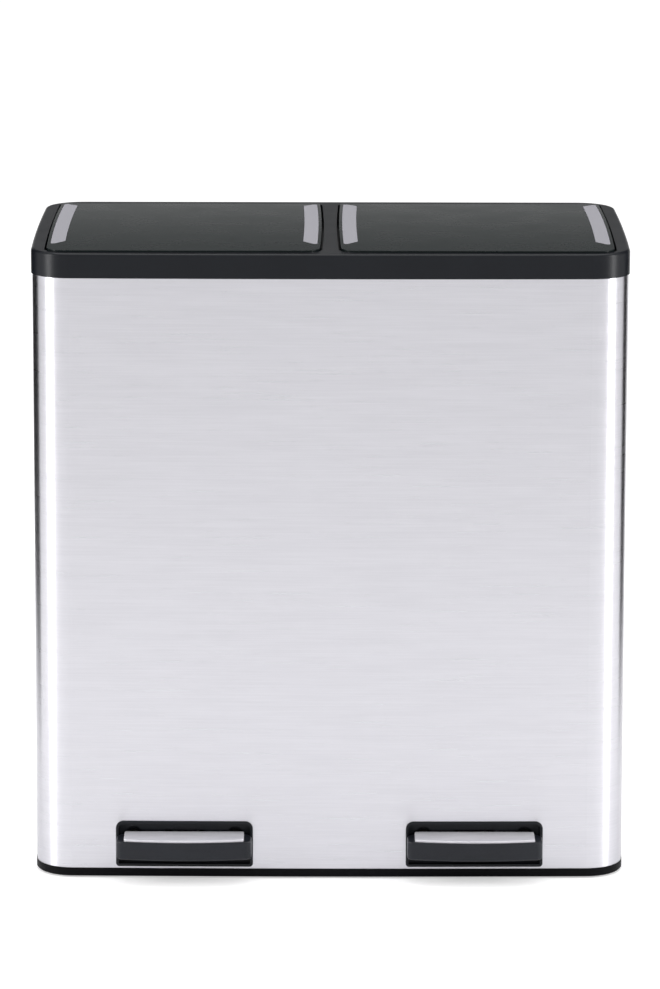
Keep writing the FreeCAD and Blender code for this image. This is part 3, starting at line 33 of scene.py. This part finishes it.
def linear(code):
    """A colour written as sRGB hex, as the linear RGBA that the shaders take."""
    channels = [int(code[i:i + 2], 16) / 255 for i in (1, 3, 5)]
    return [c / 12.92 if c <= 0.04045 else ((c + 0.055) / 1.055) ** 2.4 for c in channels] + [1.0]


def spaced(*sizes_mm):
    """The scale that sets a pattern's features this far apart: one size, or X, Y and Z."""
    x_mm, y_mm, z_mm = sizes_mm if len(sizes_mm) == 3 else sizes_mm * 3
    return [1 / (x_mm * MM), 1 / (y_mm * MM), 1 / (z_mm * MM)]


def add(tree, kind, inputs=None, **settings):
    """Adds a node with its settings and links.

    Each input, by its name or its number, takes a value, an output of another node, or the
    node itself for its first output in use."""
    node = tree.nodes.new(kind)
    for name, value in settings.items():
        setattr(node, name, value)
    for key, value in (inputs or {}).items():
        socket = next(socket for number, socket in enumerate(node.inputs)
                      if key == number or (key == socket.name and socket.enabled))
        if isinstance(value, bpy.types.Node):
            value = next(output for output in value.outputs if output.enabled)
        if isinstance(value, bpy.types.NodeSocket):
            tree.links.new(value, socket)
        else:
            socket.default_value = value
    return node


def blank(name):
    """A new material with no look yet: the material, its node tree and the place on the object."""
    material = bpy.data.materials.new(name)
    material.use_nodes = True
    material.node_tree.nodes.clear()
    place = add(material.node_tree, "ShaderNodeTexCoord").outputs["Object"]
    return material, material.node_tree, place


# ---------------------------------------------------------------- metals

def brushed_stainless_sheet():
    """Stainless sheet, belt-brushed along its length under a clear coat against fingerprints.

    The brush lines run round the case, so each reflection is drawn out up and down, and the
    sheet glows evenly, with fine level streaks and no sharp image."""
    steel, tree, place = blank("brushed_stainless_sheet")
    # real brush lines are about 0.1 mm apart: drawn 1.2 mm apart, the finest that show
    brush = add(tree, "ShaderNodeMapping", {"Vector": place, "Scale": spaced(90, 90, 1.2)})
    lines = add(tree, "ShaderNodeTexNoise", {
        "Vector": brush, "Scale": 1.0, "Detail": 4.0, "Roughness": 0.6})
    belt = add(tree, "ShaderNodeMapping", {"Vector": place, "Scale": spaced(60, 60, 9)})
    bands = add(tree, "ShaderNodeTexNoise", {"Vector": belt, "Scale": 1.0, "Detail": 2.0})
    line_share = add(tree, "ShaderNodeMapRange", {
        "Value": lines, "From Min": 0.25, "From Max": 0.75, "To Min": 0.0, "To Max": 0.7})
    band_share = add(tree, "ShaderNodeMapRange", {
        "Value": bands, "From Min": NOISE_LOW, "From Max": NOISE_HIGH,
        "To Min": 0.0, "To Max": 0.3})
    tone = add(tree, "ShaderNodeMath", {0: line_share, 1: band_share}, operation="ADD")
    paleness = add(tree, "ShaderNodeMapRange", {"Value": tone, "From Min": 0.2, "From Max": 0.8})
    colour = add(tree, "ShaderNodeMix", data_type="RGBA", inputs={
        "Factor": paleness, "A": linear("#dedde3"), "B": linear("#e4e3e9")})
    roughness = add(tree, "ShaderNodeMapRange", {
        "Value": lines, "From Min": NOISE_LOW, "From Max": NOISE_HIGH,
        "To Min": 0.27, "To Max": 0.33})
    scratches = add(tree, "ShaderNodeBump", {
        "Height": lines, "Strength": 1.0, "Distance": 0.0012 * MM})
    round_the_case = add(tree, "ShaderNodeTangent", direction_type="RADIAL", axis="Z")
    # a quarter turn from the lines lays the stretched light across them
    shader = add(tree, "ShaderNodeBsdfPrincipled", {
        "Base Color": colour, "Metallic": 1.0, "Roughness": roughness, "Normal": scratches,
        "Anisotropic": 0.8, "Anisotropic Rotation": 0.25, "Tangent": round_the_case})
    add(tree, "ShaderNodeOutputMaterial", {"Surface": shader})
    return steel


def brushed_tread_pressing():
    """Stainless pressing on a pedal, brushed along the pedal and worn smooth in patches.

    Its scratches scatter the light, so it keeps a pale, even tone where a new sheet would mirror
    the dark dish behind it. Its metallic value is matched down to a third for that."""
    steel, tree, place = blank("brushed_tread_pressing")
    # brush lines of about 0.1 mm again: drawn 0.9 mm apart
    brush = add(tree, "ShaderNodeMapping", {"Vector": place, "Scale": spaced(40, 0.9, 0.9)})
    lines = add(tree, "ShaderNodeTexNoise", {"Vector": brush, "Scale": 1.0, "Detail": 3.0})
    sole = add(tree, "ShaderNodeMapping", {"Vector": place, "Scale": spaced(14)})
    rubbed = add(tree, "ShaderNodeTexNoise", {"Vector": sole, "Scale": 1.0, "Detail": 2.0})
    paleness = add(tree, "ShaderNodeMapRange", {
        "Value": lines, "From Min": NOISE_LOW, "From Max": NOISE_HIGH})
    colour = add(tree, "ShaderNodeMix", data_type="RGBA", inputs={
        "Factor": paleness, "A": linear("#d4d3d9"), "B": linear("#e6e5ea")})
    wear = add(tree, "ShaderNodeMath", {0: rubbed, 1: 0.5, 2: lines}, operation="MULTIPLY_ADD")
    roughness = add(tree, "ShaderNodeMapRange", {
        "Value": wear, "From Min": 0.45, "From Max": 1.05, "To Min": 0.32, "To Max": 0.46})
    scratches = add(tree, "ShaderNodeBump", {
        "Height": lines, "Strength": 1.0, "Distance": 0.006 * MM})
    shader = add(tree, "ShaderNodeBsdfPrincipled", {
        "Base Color": colour, "Metallic": 0.35, "Roughness": roughness, "Normal": scratches})
    add(tree, "ShaderNodeOutputMaterial", {"Surface": shader})
    return steel


def satin_anodised_strip():
    """Aluminium inlay, etched and clear anodised: an even, slightly violet grey without lines.

    The etch and the oxide scatter most of the light as paint does, so the strip holds one tone
    from end to end, and its metallic value is matched down for that."""
    strip, tree, place = blank("satin_anodised_strip")
    # the etch is a fine even grit of some hundredths: drawn 0.8 mm wide, the finest that shows
    etch = add(tree, "ShaderNodeMapping", {"Vector": place, "Scale": spaced(0.8)})
    grit = add(tree, "ShaderNodeTexNoise", {"Vector": etch, "Scale": 1.0, "Detail": 2.0})
    paleness = add(tree, "ShaderNodeMapRange", {
        "Value": grit, "From Min": NOISE_LOW, "From Max": NOISE_HIGH})
    colour = add(tree, "ShaderNodeMix", data_type="RGBA", inputs={
        "Factor": paleness, "A": linear("#a3a2a9"), "B": linear("#adacb3")})
    roughness = add(tree, "ShaderNodeMapRange", {
        "Value": grit, "From Min": NOISE_LOW, "From Max": NOISE_HIGH,
        "To Min": 0.42, "To Max": 0.5})
    pits = add(tree, "ShaderNodeBump", {"Height": grit, "Strength": 1.0, "Distance": 0.003 * MM})
    shader = add(tree, "ShaderNodeBsdfPrincipled", {
        "Base Color": colour, "Metallic": 0.3, "Roughness": roughness, "Normal": pits})
    add(tree, "ShaderNodeOutputMaterial", {"Surface": shader})
    return strip


def zinc_plated_steel():
    """Steel wire, pressings and pins, bright zinc plated: a cool grey with a faint spangle."""
    zinc, tree, place = blank("zinc_plated_steel")
    crystals = add(tree, "ShaderNodeMapping", {"Vector": place, "Scale": spaced(5)})
    spangle = add(tree, "ShaderNodeTexNoise", {"Vector": crystals, "Scale": 1.0, "Detail": 3.0})
    skin = add(tree, "ShaderNodeMapping", {"Vector": place, "Scale": spaced(0.6)})
    grain = add(tree, "ShaderNodeTexNoise", {"Vector": skin, "Scale": 1.0, "Detail": 1.0})
    paleness = add(tree, "ShaderNodeMapRange", {
        "Value": spangle, "From Min": NOISE_LOW, "From Max": NOISE_HIGH})
    colour = add(tree, "ShaderNodeMix", data_type="RGBA", inputs={
        "Factor": paleness, "A": linear("#aab0b6"), "B": linear("#c9cdd1")})
    dullness = add(tree, "ShaderNodeMath", {0: grain, 1: 0.5, 2: spangle},
                   operation="MULTIPLY_ADD")
    roughness = add(tree, "ShaderNodeMapRange", {
        "Value": dullness, "From Min": 0.4, "From Max": 1.1, "To Min": 0.3, "To Max": 0.5})
    bumps = add(tree, "ShaderNodeBump", {"Height": grain, "Strength": 1.0, "Distance": 0.004 * MM})
    shader = add(tree, "ShaderNodeBsdfPrincipled", {
        "Base Color": colour, "Metallic": 1.0, "Roughness": roughness, "Normal": bumps})
    add(tree, "ShaderNodeOutputMaterial", {"Surface": shader})
    return zinc


def blacked_screw_steel():
    """Screw steel with a black oxide: almost black and dull, brown where a driver has rubbed."""
    screw, tree, place = blank("blacked_screw_steel")
    driver_marks = add(tree, "ShaderNodeMapping", {"Vector": place, "Scale": spaced(1.5)})
    rub = add(tree, "ShaderNodeTexNoise", {"Vector": driver_marks, "Scale": 1.0, "Detail": 3.0})
    bareness = add(tree, "ShaderNodeMapRange", {"Value": rub, "From Min": 0.45, "From Max": 0.75})
    colour = add(tree, "ShaderNodeMix", data_type="RGBA", inputs={
        "Factor": bareness, "A": linear("#2b2b2d"), "B": linear("#46423f")})
    roughness = add(tree, "ShaderNodeMapRange", {
        "Value": rub, "From Min": NOISE_LOW, "From Max": NOISE_HIGH, "To Min": 0.6, "To Max": 0.4})
    shader = add(tree, "ShaderNodeBsdfPrincipled", {
        "Base Color": colour, "Metallic": 1.0, "Roughness": roughness})
    add(tree, "ShaderNodeOutputMaterial", {"Surface": shader})
    return screw


# ---------------------------------------------------------------- plastics and rubber

MELT_CLOUD_MM = 45  # how far apart the melt's flow leaves slightly duller patches


def moulded(name, colours, roughness, grain_mm, grain_depth_mm, specular):
    """Injection-moulded plastic with the fine spark-eroded texture of its mould.

    The texture breaks up the gloss, so edges carry a soft grey line and flat faces stay matt,
    and slow clouds from the melt's flow keep a wide face from looking painted. The mould's
    grain is a few tenths of a millimetre: each is drawn at about 1 mm, the finest that shows."""
    plastic, tree, place = blank(name)
    texture = add(tree, "ShaderNodeMapping", {"Vector": place, "Scale": spaced(grain_mm)})
    grain = add(tree, "ShaderNodeTexNoise", {"Vector": texture, "Scale": 1.0, "Detail": 2.0})
    flow = add(tree, "ShaderNodeMapping", {"Vector": place, "Scale": spaced(MELT_CLOUD_MM)})
    clouds = add(tree, "ShaderNodeTexNoise", {"Vector": flow, "Scale": 1.0, "Detail": 3.0})
    tone = add(tree, "ShaderNodeMath", {0: clouds, 1: 0.8, 2: grain}, operation="MULTIPLY_ADD")
    paleness = add(tree, "ShaderNodeMapRange", {"Value": tone, "From Min": 0.6, "From Max": 1.2})
    dark, pale = colours
    colour = add(tree, "ShaderNodeMix", data_type="RGBA", inputs={
        "Factor": paleness, "A": linear(dark), "B": linear(pale)})
    dullness = add(tree, "ShaderNodeMath", {0: grain, 1: 0.4, 2: clouds}, operation="MULTIPLY_ADD")
    matt = add(tree, "ShaderNodeMapRange", {
        "Value": dullness, "From Min": 0.45, "From Max": 0.95,
        "To Min": roughness - 0.02, "To Max": roughness + 0.02})
    pits = add(tree, "ShaderNodeBump", {
        "Height": grain, "Strength": 1.0, "Distance": grain_depth_mm * MM})
    shader = add(tree, "ShaderNodeBsdfPrincipled", {
        "Base Color": colour, "Roughness": matt, "Normal": pits, "IOR": 1.5,
        "Specular IOR Level": specular})
    add(tree, "ShaderNodeOutputMaterial", {"Surface": shader})
    return plastic


def moulded_foot_rubber():
    """Thermoplastic rubber: black, quite dull, faintly dusty where it is touched."""
    rubber, tree, place = blank("moulded_foot_rubber")
    touched = add(tree, "ShaderNodeMapping", {"Vector": place, "Scale": spaced(6)})
    dust = add(tree, "ShaderNodeTexNoise", {"Vector": touched, "Scale": 1.0, "Detail": 4.0})
    dustiness = add(tree, "ShaderNodeMapRange", {"Value": dust, "From Min": 0.4, "From Max": 0.8})
    colour = add(tree, "ShaderNodeMix", data_type="RGBA", inputs={
        "Factor": dustiness, "A": linear("#161616"), "B": linear("#262625")})
    roughness = add(tree, "ShaderNodeMapRange", {
        "Value": dust, "From Min": NOISE_LOW, "From Max": NOISE_HIGH,
        "To Min": 0.7, "To Max": 0.9})
    skin = add(tree, "ShaderNodeBump", {"Height": dust, "Strength": 1.0, "Distance": 0.03 * MM})
    shader = add(tree, "ShaderNodeBsdfPrincipled", {
        "Base Color": colour, "Roughness": roughness, "Normal": skin, "Specular IOR Level": 0.3})
    add(tree, "ShaderNodeOutputMaterial", {"Surface": shader})
    return rubber


FINISHES = {
    "brushed_steel_sheet": brushed_stainless_sheet(),
    "tread_steel": brushed_tread_pressing(),
    "strip_metal": satin_anodised_strip(),
    "zinc_steel": zinc_plated_steel(),
    "black_steel": blacked_screw_steel(),
    # ABS in satin black with a blue cast, so that the rim reads cold against the steel
    "collar_plastic": moulded(
        "satin_moulded_abs", ("#0b0e14", "#0f1218"), roughness=0.32,
        grain_mm=0.7, grain_depth_mm=0.003, specular=0.28),
    # ABS again, with a greener cast and a coarser grain, but glossier under it
    "lid_plastic": moulded(
        "grained_moulded_abs", ("#101819", "#151d1e"), roughness=0.28,
        grain_mm=0.9, grain_depth_mm=0.004, specular=0.33),
    # glass-filled nylon: the fibres leave a faint mottle, and the black is a little worn
    "pedal_plastic": moulded(
        "glass_filled_nylon", ("#13151b", "#1c1f26"), roughness=0.32,
        grain_mm=0.8, grain_depth_mm=0.005, specular=0.32),
    # polypropylene: waxy and dull and black of itself; its colour is darkened further to the
    # deepest black as painted shade, for the bin's own shade over it
    "base_plastic": moulded(
        "moulded_polypropylene_base_painted_shade", ("#040406", "#07070a"), roughness=0.45,
        grain_mm=1.0, grain_depth_mm=0.004, specular=0.1),
    # polypropylene inside the case, left a plain dark grey
    "inner_plastic": moulded(
        "moulded_polypropylene_inner", ("#26282a", "#303234"), roughness=0.55,
        grain_mm=1.0, grain_depth_mm=0.008, specular=0.4),
    # polypropylene of the buckets: the palest grey, with a coarse grain that hides scratches
    "bucket_plastic": moulded(
        "moulded_polypropylene_bucket", ("#313335", "#3d3f41"), roughness=0.5,
        grain_mm=1.1, grain_depth_mm=0.01, specular=0.4),
    "foot_rubber": moulded_foot_rubber(),
}

slots = {part["node"]: part["material_slot"] for part in frame["record"]["subparts"]}
for name, node in nodes.items():
    node.data.materials.clear()
    node.data.materials.append(FINISHES[slots[name]])


# ---------------------------------------------------------------- edges

# How far each piece's sharp edges are rounded, so that they catch the light as moulded and
# pressed edges do.
SOFT_EDGE_MM = {"pedal_surround": 0.7, "tread_plate": 0.4, "pedal": 0.8, "lid": 0.5}
SHARP_EDGE = math.radians(40)  # faces that meet at less than this stay as they are

for piece, width_mm in SOFT_EDGE_MM.items():
    for side in ("left", "right"):
        bevel = nodes[f"{piece}_{side}"].modifiers.new("soft_edges", "BEVEL")
        bevel.width = width_mm * MM
        bevel.segments = 2
        bevel.limit_method = "ANGLE"
        bevel.angle_limit = SHARP_EDGE
        bevel.harden_normals = True


# ---------------------------------------------------------------- camera

# The photograph's view, from 10 degrees above and a little left of the middle, found by
# fitting the case's and the pedals' corners to their pixels.
CAMERA_PLACE = (-0.0083, -4.75, 1.4057)
YAW, PITCH, ROLL = (math.radians(degrees) for degrees in (-0.097, 10.071, -0.124))
FOCAL_LENGTH_PIXELS = 4781
IMAGE_HEIGHT_PIXELS = 989
FILM_SIZE_MM = 36
# the camera tilts less than its line to the bin, so that the bin's sides stay near upright, and
# the shift brings the bin back into the frame
FRAME_SHIFT = -0.1985

camera = bpy.data.objects.new("camera", bpy.data.cameras.new("camera"))
bpy.context.scene.collection.objects.link(camera)
bpy.context.scene.camera = camera
camera.location = CAMERA_PLACE
turn = (Matrix.Rotation(YAW, 3, "Z") @ Matrix.Rotation(math.pi / 2 - PITCH, 3, "X")
        @ Matrix.Rotation(-ROLL, 3, "Z"))
camera.rotation_euler = turn.to_euler()
camera.data.sensor_width = FILM_SIZE_MM
camera.data.lens = FOCAL_LENGTH_PIXELS / IMAGE_HEIGHT_PIXELS * FILM_SIZE_MM
camera.data.shift_y = FRAME_SHIFT


# ---------------------------------------------------------------- studio

# Soft boxes: place, what they face, width, height and watts. The two tall ones beside the
# bin draw the bright lines down the case's corners, and the wide one above lights the lids.
SOFT_BOXES = {
    "side_light_left": ((-2.08, -0.98, 0.75), (-0.28, -0.13, 0.4), 0.5, 2.0, 26),
    "side_light_right": ((2.12, -0.86, 0.75), (0.28, -0.13, 0.4), 0.45, 2.0, 24),
    "top_light": ((0, 0.35, 2.4), (0, 0.1, 0.4), 2.2, 2.0, 24),
}

for name, (place, target, width, height, watts) in SOFT_BOXES.items():
    light = bpy.data.lights.new(name, "AREA")
    light.shape = "RECTANGLE"
    light.size, light.size_y = width, height
    light.energy = watts
    soft_box = bpy.data.objects.new(name, light)
    bpy.context.scene.collection.objects.link(soft_box)
    soft_box.location = place
    soft_box.rotation_euler = (Vector(target) - Vector(place)).to_track_quat("-Z", "Y").to_euler()


def stretch(name, corners, material):
    """Hangs or lays a flat piece of the studio between four corners."""
    mesh = bpy.data.meshes.new(name)
    mesh.from_pydata(corners, [], [(0, 1, 2, 3)])
    mesh.materials.append(material)
    item = bpy.data.objects.new(name, mesh)
    bpy.context.scene.collection.objects.link(item)
    return item


def black_card_cloth():
    """Black studio cloth, which the steel's bends show as their dark edges."""
    cloth, tree, place = blank("black_card_cloth")
    threads = add(tree, "ShaderNodeMapping", {"Vector": place, "Scale": spaced(3)})
    weave = add(tree, "ShaderNodeTexNoise", {"Vector": threads, "Scale": 1.0, "Detail": 2.0})
    paleness = add(tree, "ShaderNodeMapRange", {
        "Value": weave, "From Min": NOISE_LOW, "From Max": NOISE_HIGH})
    colour = add(tree, "ShaderNodeMix", data_type="RGBA", inputs={
        "Factor": paleness, "A": linear("#101010"), "B": linear("#1c1c1c")})
    shader = add(tree, "ShaderNodeBsdfPrincipled", {
        "Base Color": colour, "Roughness": 1.0, "Specular IOR Level": 0.0})
    add(tree, "ShaderNodeOutputMaterial", {"Surface": shader})
    return cloth


# Black cards that stand beside and behind the bin: how far aside, and from where to where in
# depth. Only reflections show them.
BLACK_CARDS = {"card_left": (-0.9, 0.15, 1.6), "card_right": (0.9, 0.2, 0.8)}
CARD_HEIGHT = 1.2

cloth = black_card_cloth()
for name, (x, y_near, y_far) in BLACK_CARDS.items():
    card = stretch(name, [
        (x, y_near, 0), (x, y_far, 0), (x, y_far, CARD_HEIGHT), (x, y_near, CARD_HEIGHT)], cloth)
    card.visible_camera = False
    card.visible_diffuse = False
    card.visible_shadow = False
    card.visible_transmission = False


PAPER_GLOW = 0.4  # what the camera sees added to the lit paper, which brings it to white


def white_paper_floor():
    """White paper roll, matt and even: it keeps the bin's shade and runs out to white."""
    paper, tree, place = blank("white_paper_floor")
    pulp = add(tree, "ShaderNodeMapping", {"Vector": place, "Scale": spaced(4)})
    fibre = add(tree, "ShaderNodeTexNoise", {"Vector": pulp, "Scale": 1.0, "Detail": 3.0})
    paleness = add(tree, "ShaderNodeMapRange", {
        "Value": fibre, "From Min": NOISE_LOW, "From Max": NOISE_HIGH})
    colour = add(tree, "ShaderNodeMix", data_type="RGBA", inputs={
        "Factor": paleness, "A": linear("#f3f3f3"), "B": linear("#f7f7f7")})
    ray = add(tree, "ShaderNodeLightPath")
    glow = add(tree, "ShaderNodeMath", {0: ray.outputs["Is Camera Ray"], 1: PAPER_GLOW},
               operation="MULTIPLY")
    shader = add(tree, "ShaderNodeBsdfPrincipled", {
        "Base Color": colour, "Roughness": 0.9, "Specular IOR Level": 0.2,
        "Emission Color": linear("#ffffff"), "Emission Strength": glow})
    add(tree, "ShaderNodeOutputMaterial", {"Surface": shader})
    return paper


REACH = 8  # the floor runs this far from the bin each way
stretch("floor", [(-REACH, -REACH, 0), (REACH, -REACH, 0), (REACH, REACH, 0), (-REACH, REACH, 0)],
        white_paper_floor())

ROOM_LIGHT = 0.75  # the even light on the bin from all round
DARK_STUDIO = 0.04  # what the lids mirror from high up behind the bin
SEEN_WHITE = 1.0  # the background as the camera sees it
# The dark sets in between these shares of a sightline that go back, away from the photograph's
# camera, and between these that go up, which is from 2 to 13 degrees above the floor.
BACK_FROM, BACK_TO = 0.2, 0.7
UP_FROM, UP_TO = 0.04, 0.22


def make_room():
    """Even white light, with a dark studio high up behind the bin that only reflections show."""
    room = bpy.data.worlds.new("studio")
    bpy.context.scene.world = room
    room.use_nodes = True
    tree = room.node_tree
    tree.nodes.clear()
    ray = add(tree, "ShaderNodeLightPath")
    sightline = add(tree, "ShaderNodeTexCoord").outputs["Generated"]
    way = add(tree, "ShaderNodeSeparateXYZ", {0: sightline})
    behind = add(tree, "ShaderNodeMapRange", {
        "Value": way.outputs["Y"], "From Min": BACK_FROM, "From Max": BACK_TO})
    high_up = add(tree, "ShaderNodeMapRange", {
        "Value": way.outputs["Z"], "From Min": UP_FROM, "From Max": UP_TO})
    dark = add(tree, "ShaderNodeMath", {0: behind, 1: high_up}, operation="MULTIPLY")
    mirrored = add(tree, "ShaderNodeMath", {0: dark, 1: ray.outputs["Is Glossy Ray"]},
                   operation="MULTIPLY")
    strength = add(tree, "ShaderNodeMapRange", {
        "Value": mirrored, "To Min": ROOM_LIGHT, "To Max": DARK_STUDIO})
    lit = add(tree, "ShaderNodeBackground", {"Color": linear("#ffffff"), "Strength": strength})
    seen = add(tree, "ShaderNodeBackground", {"Color": linear("#ffffff"), "Strength": SEEN_WHITE})
    shown = add(tree, "ShaderNodeMixShader", {
        "Fac": ray.outputs["Is Camera Ray"], 1: lit, 2: seen})
    add(tree, "ShaderNodeOutputWorld", {"Surface": shown})


make_room()
bpy.context.scene.view_settings.view_transform = "Standard"
